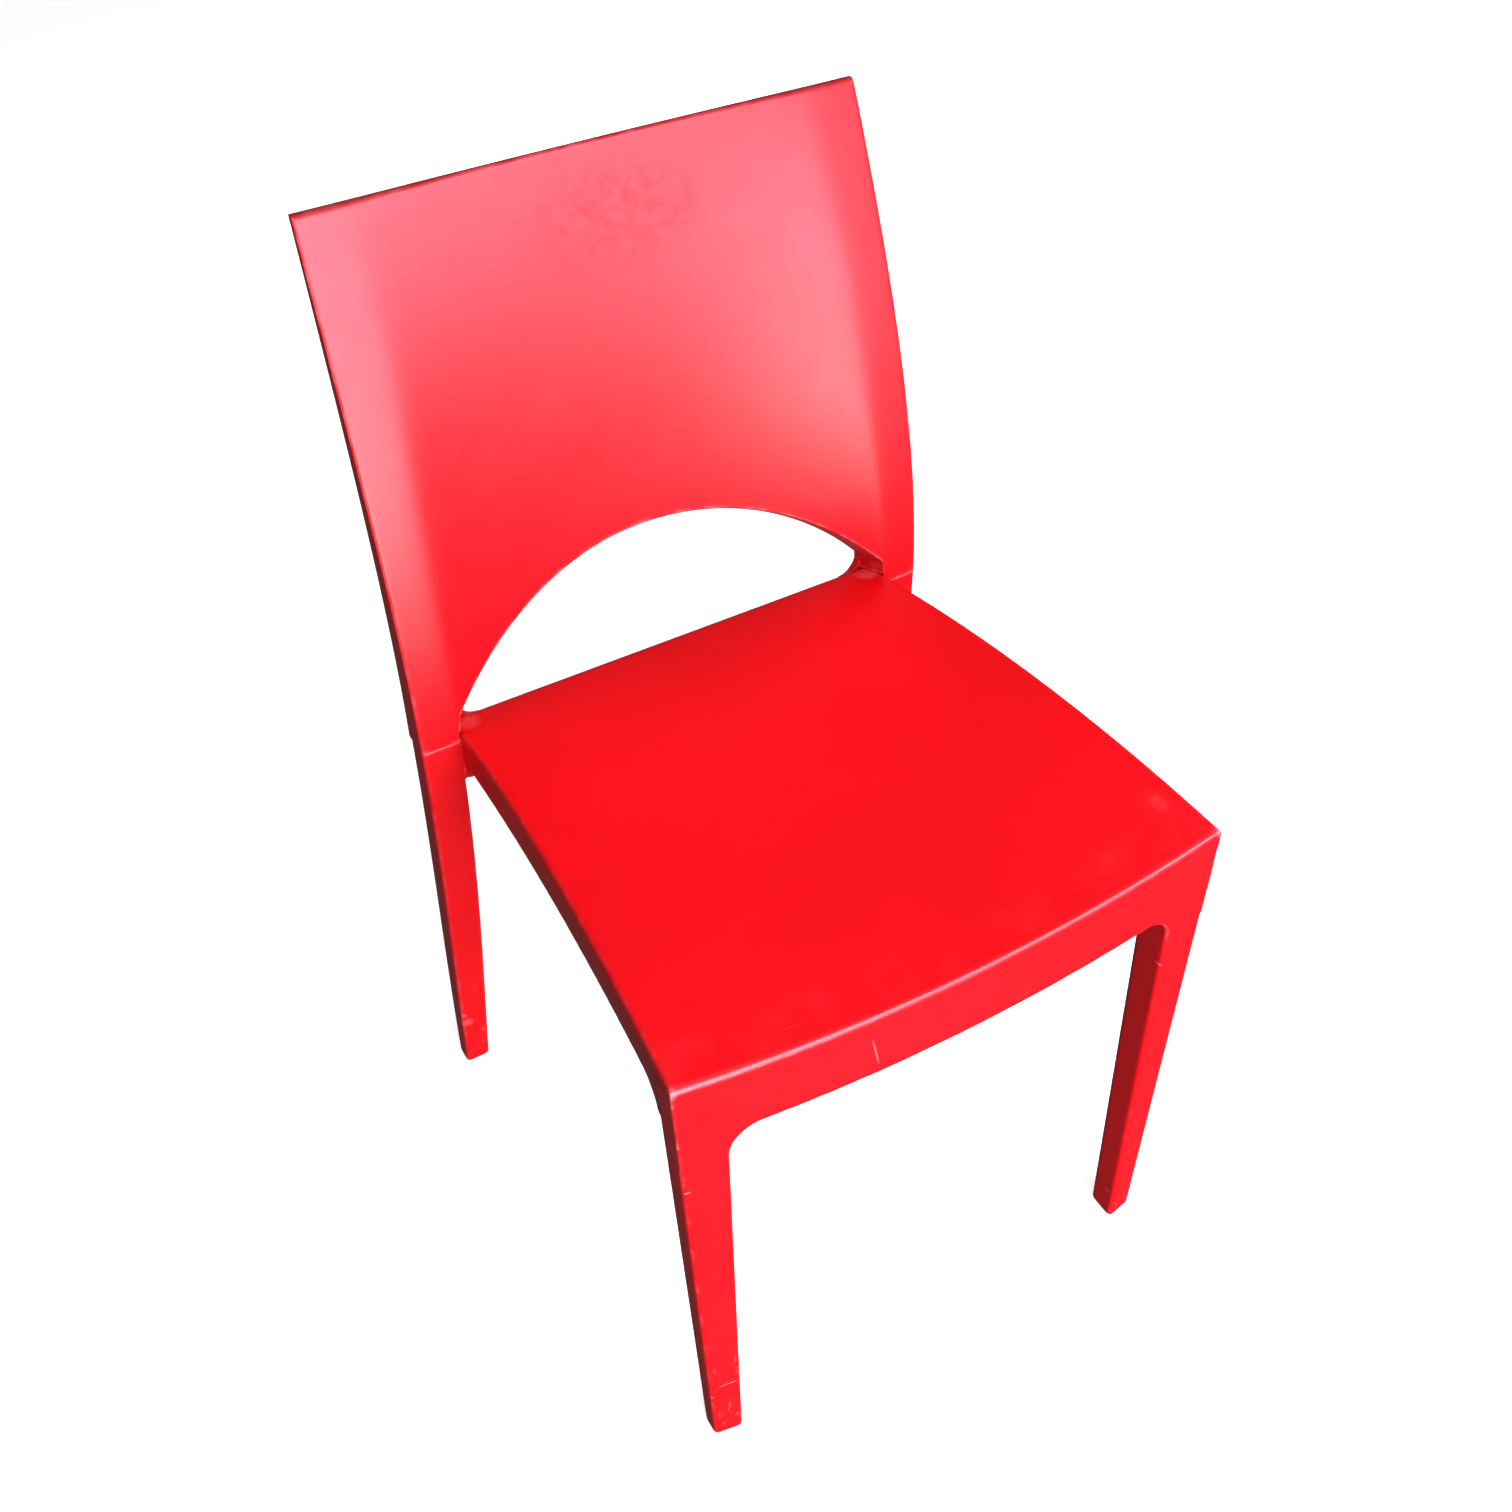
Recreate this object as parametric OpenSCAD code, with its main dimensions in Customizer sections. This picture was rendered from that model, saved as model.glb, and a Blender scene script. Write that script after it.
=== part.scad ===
// Moulded plastic side chair in two mouldings. Sizes are in millimetres, +Z is up, and the sitter faces -Y.
// The origin lies on the floor under the middle of the chair's box.

/* [Overall size] */
// Height from the floor to the top of the back
overall_h = 829; // [680:1:1000]
// Depth from the seat's front edge to the back's top edge
overall_d = 510; // [420:1:620]
// Outside width across the rear feet
rear_foot_w = 462; // [380:1:560]
// Outside width across the front feet
front_foot_w = 416; // [340:1:500]

/* [Seat] */
// Height of the seat's front corners
seat_h = 460; // [380:1:560]
// Outside width of the seat at the front
seat_front_w = 443; // [365:1:530]
// From the seat's front edge to the face of the back posts
seat_d = 407; // [340:1:490]
// How far the front edge bows forward
front_bow = 10; // [0:0.5:20]
// How much lower the middle of the front edge is than its corners
front_dip = 10; // [0:0.5:16]
// How far the side edges rise above the front corners half way back
side_rise = 6; // [0:0.5:16]
// How far the side edges draw in half way back
side_waist = 1.5; // [0:0.5:10]
// Depth of the dish in the middle of the seat
seat_dish = 13; // [0:0.5:20]
// How far the seat's rear edge stands behind the face of the posts
rear_overlap = 25; // [16:0.5:28]
// Thickness of the seat shell
seat_t = 4.5; // [3:0.5:7]
// Thickness of the apron and rail walls
wall_t = 6; // [4:0.5:9]
// Radius of the seat's upper edge
seat_edge_r = 4.5; // [2:0.5:6]
// Height of the front apron
apron_h = 61; // [40:1:80]
// Height of the side rails
rail_h = 39; // [30:1:60]
// Height of the rear rail under the seat
rear_rail_h = 34; // [24:1:46]

/* [Legs] */
// Front width of a front leg at the seat
front_leg_top_w = 39; // [28:0.5:46]
// Front width of a front leg at the floor
front_leg_foot_w = 23.5; // [18:0.5:29]
// Depth of a front leg at the seat
front_leg_top_d = 32; // [22:0.5:36]
// Depth of a leg at the floor
foot_d = 23; // [17:0.5:26]
// Front width of a rear leg at the floor
rear_leg_foot_w = 22.5; // [17:0.5:28]
// Front width of a rear leg half way down
rear_leg_mid_w = 29.5; // [24:0.5:36]
// Depth of a rear leg half way down
rear_leg_mid_d = 31.5; // [26:0.5:38]
// How far the rear feet stand behind the posts at the seat
rear_splay = 48; // [20:1:70]
// Radius where the apron runs into a front leg
apron_fillet = 25; // [10:1:36]
// Radius where a side rail runs into a front leg
rail_fillet = 22; // [8:1:30]
// Radius where a side rail runs into a rear leg
rear_fillet = 11; // [3:1:14]
// Radius of a foot's lower edge
foot_r = 2.5; // [1:0.5:5]

/* [Back] */
// How much lower the seam under the back is than the seat's front corners
seam_drop = 26; // [10:1:50]
// Outside width across the posts at the seam
seam_w = 454; // [378:1:550]
// Outside width of the back half way up
back_mid_w = 445.5; // [370:0.5:535]
// Outside width of the back at the top
back_top_w = 432; // [355:1:520]
// Front width of a post at the seam
post_w = 32; // [26:0.5:42]
// Width of the flat band beside the hollow at the top
band_top_w = 42; // [26:1:60]
// Depth of a post at the seam
post_d = 30; // [26:0.5:38]
// Depth of the back's side edge at the top
top_edge_d = 8; // [6:0.5:14]
// Thickness in the middle of the back
panel_t = 5; // [3:0.5:8]
// Depth of the hollow across the back at the top
hollow_top = 5; // [0:0.5:10]
// Depth of the hollow across the back at the seat
hollow_seat = 50; // [0:1:60]
// Height of the arched opening's crown above the seam
arch_rise = 108; // [80:1:150]
// Height of the arch's ends above the seam
arch_foot = 21.5; // [18:0.5:40]
// How much narrower the opening's rear edge is than its front edge, at each side
arch_draft = 9.5; // [4:0.5:16]
// Radius of the front edges
soft_r = 3; // [1:0.5:5]

/* [Joinery] */
// Diameter of the spigot under each post
spigot_d = 16; // [12:0.5:20]
// Length of the spigot
spigot_l = 58; // [40:1:80]
// Clearance all round between a piece and its hole
fit = 0.15; // [0.1:0.05:0.4]
// Diameter of the lock screw's shank
screw_d = 4; // [3:0.5:5]
// Diameter of the lock screw's head
screw_head_d = 8; // [7:0.5:10]
// Height of the lock screw's head
screw_head_h = 3; // [2:0.5:4]
// Outside diameter of the threaded insert
insert_d = 6.5; // [6:0.5:8]
// Length of the threaded insert
insert_l = 9; // [6:0.5:11]
// Diameter of a foot glide's disc
glide_d = 15; // [12:0.5:18]
// Thickness of a foot glide's disc
glide_h = 3; // [2:0.5:5]
// How far a glide stands out of the foot
glide_show = 1; // [0.5:0.5:2]
// Diameter of a glide's stem
stem_d = 7; // [5:0.5:9]
// Length of a glide's stem
stem_l = 16; // [10:1:24]

/* [Hidden] */

plastic_red = [0.86, 0.06, 0.12];
steel_grey = [0.72, 0.73, 0.75];
brass_yellow = [0.80, 0.66, 0.32];
glide_grey = [0.20, 0.20, 0.21];

// Slopes of the post's face, in millimetres back per millimetre up
foot_slope = -0.10;
seam_slope = -0.022;
top_slope = 0.39;

front_y = -overall_d / 2 + front_bow;
seam_y = -overall_d / 2 + seat_d;
seam_h = seat_h - seam_drop;
rear_y = seam_y + rear_overlap;
// The rounded top edge stops a little short of its own corner
top_edge_r = 0.45 * panel_t;
top_y = overall_d / 2 - hollow_top - panel_t + 0.31 * top_edge_r;
foot_y = seam_y + rear_splay;
inner_x = seam_w / 2 - post_w;
rear_z = seam_h + 4;
crown_z = seam_h + arch_rise;
// Half width of the arch between its ends, its radius, and how much lower its rear edge is
arch_span = inner_x - 1;
arch_r = (pow(arch_span, 2) + pow(arch_rise - arch_foot, 2)) / 2 / (arch_rise - arch_foot);
arch_drop = 4;
rim_r = 8;
spigot_x = inner_x + post_w / 2;
spigot_y = seam_y + post_d / 2;
lock_z = seam_h - spigot_l / 2;
head_sink = screw_head_h + 0.5;
insert_sink = 1;
screw_tip = 3;
hex_across = 3.4;
hex_deep = 1.8;
foot_z = glide_show;
glide_bevel = 1;
arc_steps = 3;
overlap = 0.5;
flush = 0.1;
// Roundness of a leg's rear corners, as a share of its depth
rear_round = 0.34;
front_leg_outer_round = 0.42;
front_leg_inner_round = 0.2;
// How far the front legs' outer faces lean in, in millimetres per millimetre down
side_lean = (seat_front_w - front_foot_w) / 2 / seat_h;

function mix(a, b, t) = a + (b - a) * t;
// A curve through three values, at 0, at a half and at 1
function through(a, m, b, t) = a * (2 * t - 1) * (t - 1) + m * 4 * t * (1 - t) + b * t * (2 * t - 1);
// A curve from a to b over a length, with its two end slopes
function bend(a, slope_a, b, slope_b, len, t) =
    let (t2 = t * t, t3 = t2 * t)
    a * (2 * t3 - 3 * t2 + 1) + slope_a * len * (t3 - 2 * t2 + t)
    + b * (3 * t2 - 2 * t3) + slope_b * len * (t3 - t2);
function steps(n) = [for (i = [0 : n]) i / n];

// The post's face seen from the side, and its outer edge seen from the front
function above_seam(z) = (z - seam_h) / (overall_h - seam_h);
function post_y(z) = z < seam_h
    ? bend(foot_y, foot_slope, seam_y, seam_slope, seam_h, z / seam_h)
    : bend(seam_y, seam_slope, top_y, top_slope, overall_h - seam_h, above_seam(z));
function post_x(z) = z < seam_h
    ? mix(rear_foot_w / 2, seam_w / 2, z / seam_h)
    : through(seam_w / 2, back_mid_w / 2, back_top_w / 2, above_seam(z));

// Skins a row of rings into one closed solid. All rings have as many points, and they turn to the left
// when they are seen from the end that the row grows towards.
function ring_faces(rows, n) = [
    for (j = [0 : rows - 2], i = [0 : n - 1])
        let (k = (i + 1) % n, a = j * n + i, b = j * n + k, c = (j + 1) * n + k, d = (j + 1) * n + i)
        each [[a, c, b], [a, d, c]]
];
function loop_faces(rows, n) = [
    for (j = [0 : rows - 1], i = [0 : n - 1])
        let (k = (i + 1) % n, m = (j + 1) % rows)
        each [[j * n + i, j * n + k, m * n + k], [j * n + i, m * n + k, m * n + i]]
];
function cap_faces(first, n, up) = [
    for (i = [0 : n / 2 - 2])
        let (a = first + i, b = first + i + 1, c = first + n - 2 - i, d = first + n - 1 - i)
        each up ? [[a, c, b], [a, d, c]] : [[a, b, c], [a, c, d]]
];
function back_to_front(list) = [for (i = [len(list) - 1 : -1 : 0]) list[i]];
function flat(lists) = [for (l = lists) each l];
module skin(rings) {
    n = len(rings[0]);
    rows = len(rings);
    bottom = cap_faces(0, n, false);
    top = cap_faces((rows - 1) * n, n, true);
    polyhedron(flat(rings), concat(bottom, ring_faces(rows, n), top));
}
module skin_loop(rings) {
    polyhedron(flat(rings), loop_faces(len(rings), len(rings[0])));
}

// ---- Seat ----
function side_x(y) =
    let (t = min(1, (y - front_y) / (seam_y - front_y)))
    mix(seat_front_w / 2, inner_x - fit, t) - side_waist * 4 * max(0, t) * (1 - t);
function edge_y(u) = front_y - front_bow * (1 - u * u);
function edge_z(v) = through(seat_h, seat_h + side_rise, rear_z, v);
function dish(v) = through(front_dip, seat_dish, 0, v);
function seat_point(u, v, inset, drop) =
    let (y = mix(edge_y(u) + inset, rear_y - inset, v),
         x = u * (side_x(y) - inset),
         w = (y - front_y) / (rear_y - front_y))
    [x, y, edge_z(w) - dish(w) * (1 - u * u) - drop];

module seat_shell() {
    across = [for (t = steps(18)) 2 * t - 1];
    rings = [
        for (v = back_to_front(steps(16)))
            concat([for (u = across) seat_point(u, v, seat_edge_r, seat_t)],
                   [for (u = back_to_front(across)) seat_point(u, v, seat_edge_r, 0)])
    ];
    skin(rings);
}

// Stations round the seat's edge: [u, v, outward direction, wall height]
right = [1, 0, 0];
front = [0, -1, 0];
rear = [0, 1, 0];
function fillet_at(r) = [for (t = steps(5)) [r * (1 - sin(90 * t)), r * (1 - cos(90 * t))]];
function side_v(y) = (y - front_y) / (rear_y - front_y);
function side_stations() =
    let (leg_y = front_y + front_leg_top_d - overlap,
         v0 = side_v(leg_y + rail_fillet), v1 = side_v(seam_y - rear_fillet))
    concat(
        [[1, 0.012, right, rail_h + rail_fillet]],
        [for (f = back_to_front(fillet_at(rail_fillet))) [1, side_v(leg_y + f[0]), right, rail_h + f[1]]],
        [for (t = [1 : 9]) [1, mix(v0, v1, t / 10), right, rail_h]],
        [for (f = fillet_at(rear_fillet)) [1, side_v(seam_y - f[0]), right, rail_h + f[1]]],
        [[1, 0.985, right, rear_rail_h]]
    );
function front_stations() =
    let (half = seat_front_w / 2, leg_x = half - front_leg_top_w + overlap, span = leg_x - apron_fillet)
    concat(
        [[0.985, 0, front, apron_h + apron_fillet]],
        [for (f = back_to_front(fillet_at(apron_fillet))) [(leg_x - f[0]) / half, 0, front, apron_h + f[1]]],
        [for (t = [1 : 4]) [mix(span, 0, t / 5) / half, 0, front, apron_h]]
    );
function flip_station(s) = [-s[0], s[1], [-s[2][0], s[2][1], 0], s[3]];
function all_stations() =
    let (corner = [1, 0, 0.7 * (right + front), apron_h + apron_fillet],
         half = concat(back_to_front(side_stations()), [corner], front_stations()),
         other = [for (s = back_to_front(half)) flip_station(s)])
    concat(half, [[0, 0, front, apron_h]], other,
           [[-1, 1, 0.7 * (rear - right), rear_rail_h], [-0.9, 1, rear, rear_rail_h],
            [0.9, 1, rear, rear_rail_h], [1, 1, 0.7 * (rear + right), rear_rail_h]]);
function wall_section(s) =
    let (p = seat_point(s[0], s[1], 0, 0), n = s[2], h = s[3], r = seat_edge_r,
         edge = [for (t = steps(arc_steps)) [-r * (1 - sin(90 * t)), -r * (1 - cos(90 * t))]],
         wall = [[0, -h + soft_r], [-soft_r, -h], [-wall_t, -h], [-wall_t, -seat_t / 2], [-r, -seat_t / 2]])
    [for (q = concat(edge, wall)) p + q[0] * n + [q[1] * side_lean * n[0], 0, q[1]]];

module seat_walls() {
    skin_loop([for (s = all_stations()) wall_section(s)]);
}

// ---- Legs ----
// A leg's section, flat in front and round behind, from its inner front corner
function corner(x, y, z, r, from) = [
    for (t = steps(arc_steps)) [x + r * cos(from + 90 * t), y + r * sin(from + 90 * t), z]
];
function leg_ring(x0, x1, y0, y1, d, z, r_front, r_outer, r_inner) = concat(
    corner(x0 + r_front, y0 + r_front, z, r_front, 180),
    corner(x1 - r_front, y1 + r_front, z, r_front, 270),
    corner(x1 - r_outer, y1 + d - r_outer, z, r_outer, 0),
    corner(x0 + r_inner, y1 + d - r_inner, z, r_inner, 90)
);
// Heights of the rings up a leg, with the inset that rounds the foot
function leg_levels(top) = concat(
    [for (t = steps(arc_steps)) [foot_z + foot_r * (1 - cos(90 * t)), foot_r * (1 - sin(90 * t))]],
    [for (t = steps(9)) if (t > 0) [mix(foot_z + foot_r, top, t), 0]]
);

module front_leg() {
    rings = [
        for (l = leg_levels(seat_h - seat_t - seat_edge_r))
            let (z = l[0], e = l[1], t = z / seat_h,
                 x1 = mix(front_foot_w, seat_front_w, t) / 2,
                 x0 = x1 - mix(front_leg_foot_w, front_leg_top_w, t),
                 d = mix(foot_d, front_leg_top_d, t),
                 y0 = edge_y(x0 / (seat_front_w / 2)) + flush * t)
            leg_ring(x0 + e, x1 - e - flush * t, y0 + e, front_y + e, d - 2 * e, z,
                     soft_r, d * front_leg_outer_round, d * front_leg_inner_round)
    ];
    skin(rings);
}
function rear_leg_w(z) = through(rear_leg_foot_w, rear_leg_mid_w, post_w, z / seam_h);
function rear_leg_d(z) = through(foot_d, rear_leg_mid_d, post_d, z / seam_h);
module rear_leg() {
    rings = [
        for (l = leg_levels(seam_h))
            let (z = l[0], e = l[1], x1 = post_x(z), y = post_y(z), d = rear_leg_d(z))
            leg_ring(x1 - rear_leg_w(z) + e, x1 - e, y + e, y + e, d - 2 * e, z,
                     soft_r, d * rear_round, d * rear_round)
    ];
    skin(rings);
}
// Ties the rear leg to the rails below the seam
module rear_corner() {
    reach = 8;
    low = seam_h - rear_rail_h;
    translate([inner_x - 2 * wall_t, seam_y + soft_r, low + 1])
        cube([2 * wall_t + reach, rear_overlap - soft_r - 1, rear_rail_h - 1]);
}
module half_frame() {
    front_leg();
    rear_leg();
    rear_corner();
}
// One skin over the shell, the walls and the legs. Zeros leave its size as it is.
module frame_moulding() {
    resize([0, 0, 0]) union() {
        seat_shell();
        seat_walls();
        half_frame();
        mirror([1, 0, 0]) half_frame();
    }
}

// Middle of each foot: [x, y]
function front_foot() = [front_foot_w / 2 - front_leg_foot_w / 2, front_y + foot_d / 2];
function rear_foot() = [rear_foot_w / 2 - rear_leg_foot_w / 2, foot_y + foot_d / 2];
module at_both_sides() {
    children();
    mirror([1, 0, 0]) children();
}
module glide_hole(at) {
    translate([at[0], at[1], -overlap]) {
        cylinder(d = glide_d + 2 * fit, h = overlap + glide_h + fit, $fn = 48);
        cylinder(d = stem_d + 2 * fit, h = overlap + glide_h + stem_l + 1, $fn = 48);
    }
}
module along_rear(z) {
    translate([spigot_x, post_y(z) + rear_leg_d(z), z]) rotate([90, 0, 0]) children();
}
module seat_frame() {
    color(plastic_red) difference() {
        frame_moulding();
        at_both_sides() {
            glide_hole(front_foot());
            glide_hole(rear_foot());
            translate([spigot_x, spigot_y, seam_h - spigot_l - 1])
                cylinder(d = spigot_d + 2 * fit, h = spigot_l + 2, $fn = 64);
            along_rear(lock_z) translate([0, 0, -1])
                cylinder(d = screw_head_d + 2 * fit, h = head_sink + 1, $fn = 48);
            along_rear(lock_z) cylinder(d = screw_d + 2 * fit, h = post_d / 2, $fn = 48);
        }
    }
}

// ---- Back ----
function crease_x(z) = post_x(z) - mix(post_w, band_top_w, above_seam(z));
function hollow(z) = mix(hollow_seat, hollow_top, above_seam(z));
function face_y(x, z) = post_y(z) + hollow(z) * max(0, 1 - pow(x / crease_x(z), 2));
function back_d(x, z) = mix(panel_t, mix(post_d, top_edge_d, above_seam(z)), min(1, pow(x / crease_x(z), 2)));

function arch_z(x) = crown_z - arch_r + sqrt(arch_r * arch_r - x * x);
// Across the back, from the middle out: [x at the seam, lowest z, inset] of the face, then of the rear
function back_columns() =
    let (half = seam_w / 2, draft = 1 - arch_draft / inner_x, rim_x = inner_x - arch_draft,
         sill = edge_z(side_v(seam_y)) + fit, rear_sill = rear_z + fit, rear_r = post_d * rear_round,
         arch = [for (t = steps(14))
             let (x = arch_span * sin(90 * t), z = arch_z(x))
             [[x, z, 0], [x * draft, z - arch_drop, 0]]],
         rim = [for (t = [0.3, 0.65, 1])
             let (a = 90 * t, front_z = mix(arch_z(arch_span), sill, t))
             [[mix(arch_span, inner_x, t / 2), front_z, 0],
              [rim_x - rim_r * (1 - cos(a)), rear_sill + rim_r * (1 - sin(a)), 0]]],
         foot = [[[inner_x, sill, 0], [inner_x, rear_sill, 0]],
                 [[inner_x + 0.3, seam_h, 0], [inner_x + 0.3, seam_h, 0]],
                 [[inner_x + post_w / 3, seam_h, 0], [inner_x + post_w / 3, seam_h, 0]]],
         edge = [for (t = steps(4))
             let (x = half - soft_r * (1 - sin(90 * t)))
             [[x, seam_h, soft_r * (1 - cos(90 * t))], [x, seam_h, rear_r * (1 - sqrt(1 - pow(t, 2.4)))]]])
    concat(arch, rim, foot, edge);
function back_point(c, side, rear, v, e) =
    let (z = mix(c[1], overall_h, v), x = c[0] / (seam_w / 2) * post_x(z), d = back_d(x, z),
         inset = max(c[2] * d / post_d, e))
    [side * x, face_y(x, z) + (rear ? d - inset : inset), z];
function back_ring(v, e) =
    let (columns = back_columns(), last = len(columns) - 1)
    concat([for (i = [last : -1 : 1]) back_point(columns[i][0], -1, false, v, e)],
           [for (c = columns) back_point(c[0], 1, false, v, e)],
           [for (c = back_to_front(columns)) back_point(c[1], 1, true, v, e)],
           [for (i = [1 : last]) back_point(columns[i][1], -1, true, v, e)]);

module back_moulding() {
    drop = [for (t = steps(arc_steps)) top_edge_r * (1 - sin(90 * t)) / (overall_h - crown_z)];
    inset = [for (t = steps(arc_steps)) top_edge_r * (1 - cos(90 * t))];
    skin(concat([for (t = [0 : 13]) back_ring(t / 14, 0)],
                [for (i = [0 : arc_steps]) back_ring(1 - drop[i], inset[i])]));
}
module back_panel() {
    color(plastic_red) difference() {
        union() {
            back_moulding();
            at_both_sides() translate([spigot_x, spigot_y, seam_h - spigot_l])
                cylinder(d = spigot_d, h = spigot_l + 12, $fn = 64);
        }
        at_both_sides() translate([spigot_x, spigot_y + spigot_d / 2 + 1, lock_z]) rotate([90, 0, 0]) {
            cylinder(d = insert_d + 2 * fit, h = 1 + insert_sink + insert_l + fit, $fn = 48);
            cylinder(d = screw_d + 2 * fit, h = spigot_d - 1, $fn = 48);
        }
    }
}

// ---- Fastenings ----
module lock_screw() {
    shank_l = post_d / 2 + spigot_d / 2 - head_sink - screw_tip;
    color(steel_grey) along_rear(lock_z) translate([0, 0, head_sink - screw_head_h]) {
        difference() {
            cylinder(d = screw_head_d, h = screw_head_h, $fn = 48);
            translate([0, 0, -1]) cylinder(d = hex_across, h = 1 + hex_deep, $fn = 6);
        }
        translate([0, 0, screw_head_h]) cylinder(d = screw_d, h = shank_l, $fn = 48);
    }
}
module lock_insert(side) {
    color(brass_yellow)
        translate([side * spigot_x, spigot_y + spigot_d / 2 - insert_sink, lock_z]) rotate([90, 0, 0])
            difference() {
                cylinder(d = insert_d, h = insert_l, $fn = 48);
                translate([0, 0, -1]) cylinder(d = screw_d + 2 * fit, h = insert_l + 2, $fn = 48);
            }
}
module foot_glide(at, side) {
    disc = [[0, 0], [glide_d / 2 - glide_bevel, 0], [glide_d / 2, glide_bevel],
            [glide_d / 2, glide_h], [0, glide_h]];
    color(glide_grey) translate([side * at[0], at[1], 0]) {
        rotate_extrude($fn = 64) polygon(disc);
        translate([0, 0, glide_h]) cylinder(d = stem_d, h = stem_l, $fn = 48);
    }
}

seat_frame();
back_panel();
mirror([1, 0, 0]) lock_screw();  // lock_screw_left
lock_screw();  // lock_screw_right
lock_insert(-1);  // lock_insert_left
lock_insert(1);  // lock_insert_right
foot_glide(front_foot(), -1);  // foot_glide_front_left
foot_glide(front_foot(), 1);  // foot_glide_front_right
foot_glide(rear_foot(), -1);  // foot_glide_rear_left
foot_glide(rear_foot(), 1);  // foot_glide_rear_right
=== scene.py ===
from functools import cached_property
from math import cos, pi, radians, sin, sqrt

import bpy
import numpy as np
from bpy.props import FloatProperty, FloatVectorProperty, PointerProperty
from mathutils import Matrix, Vector


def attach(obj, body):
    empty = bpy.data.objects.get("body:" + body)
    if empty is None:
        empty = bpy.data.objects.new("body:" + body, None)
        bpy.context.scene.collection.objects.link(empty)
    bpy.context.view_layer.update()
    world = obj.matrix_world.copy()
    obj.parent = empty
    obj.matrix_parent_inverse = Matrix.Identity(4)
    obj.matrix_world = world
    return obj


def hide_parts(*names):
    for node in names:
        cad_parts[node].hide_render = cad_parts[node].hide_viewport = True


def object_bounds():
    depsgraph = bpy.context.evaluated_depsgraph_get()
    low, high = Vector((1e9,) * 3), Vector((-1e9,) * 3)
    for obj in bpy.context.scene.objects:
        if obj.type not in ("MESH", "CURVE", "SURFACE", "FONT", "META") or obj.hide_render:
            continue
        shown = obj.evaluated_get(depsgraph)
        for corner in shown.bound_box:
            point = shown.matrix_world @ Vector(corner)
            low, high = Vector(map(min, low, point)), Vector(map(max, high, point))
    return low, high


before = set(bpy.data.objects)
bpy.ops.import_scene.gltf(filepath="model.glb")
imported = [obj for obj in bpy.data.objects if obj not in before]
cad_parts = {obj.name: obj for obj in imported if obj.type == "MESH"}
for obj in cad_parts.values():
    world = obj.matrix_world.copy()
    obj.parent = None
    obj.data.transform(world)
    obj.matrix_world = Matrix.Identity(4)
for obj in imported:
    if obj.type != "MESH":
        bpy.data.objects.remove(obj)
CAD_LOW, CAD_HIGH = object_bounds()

bl_info = {
    "name": "Moulded Side Chair",
    "version": (1, 0, 0),
    "blender": (4, 5, 0),
    "location": "View3D > Sidebar > Chair",
    "description": "Builds a moulded plastic side chair round its packed frame",
    "category": "Add Mesh",
}

MM = 0.001
BODY = "root"


# ---- Sizes and colours ----
def length(name, millimetres, description):
    return FloatProperty(
        name=name,
        description=description,
        default=millimetres * MM,
        min=0.0,
        unit="LENGTH",
        precision=4,
    )


def colour(name, rgb, description):
    return FloatVectorProperty(
        name=name,
        description=description,
        default=rgb,
        size=3,
        min=0.0,
        max=1.0,
        subtype="COLOR",
    )


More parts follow.
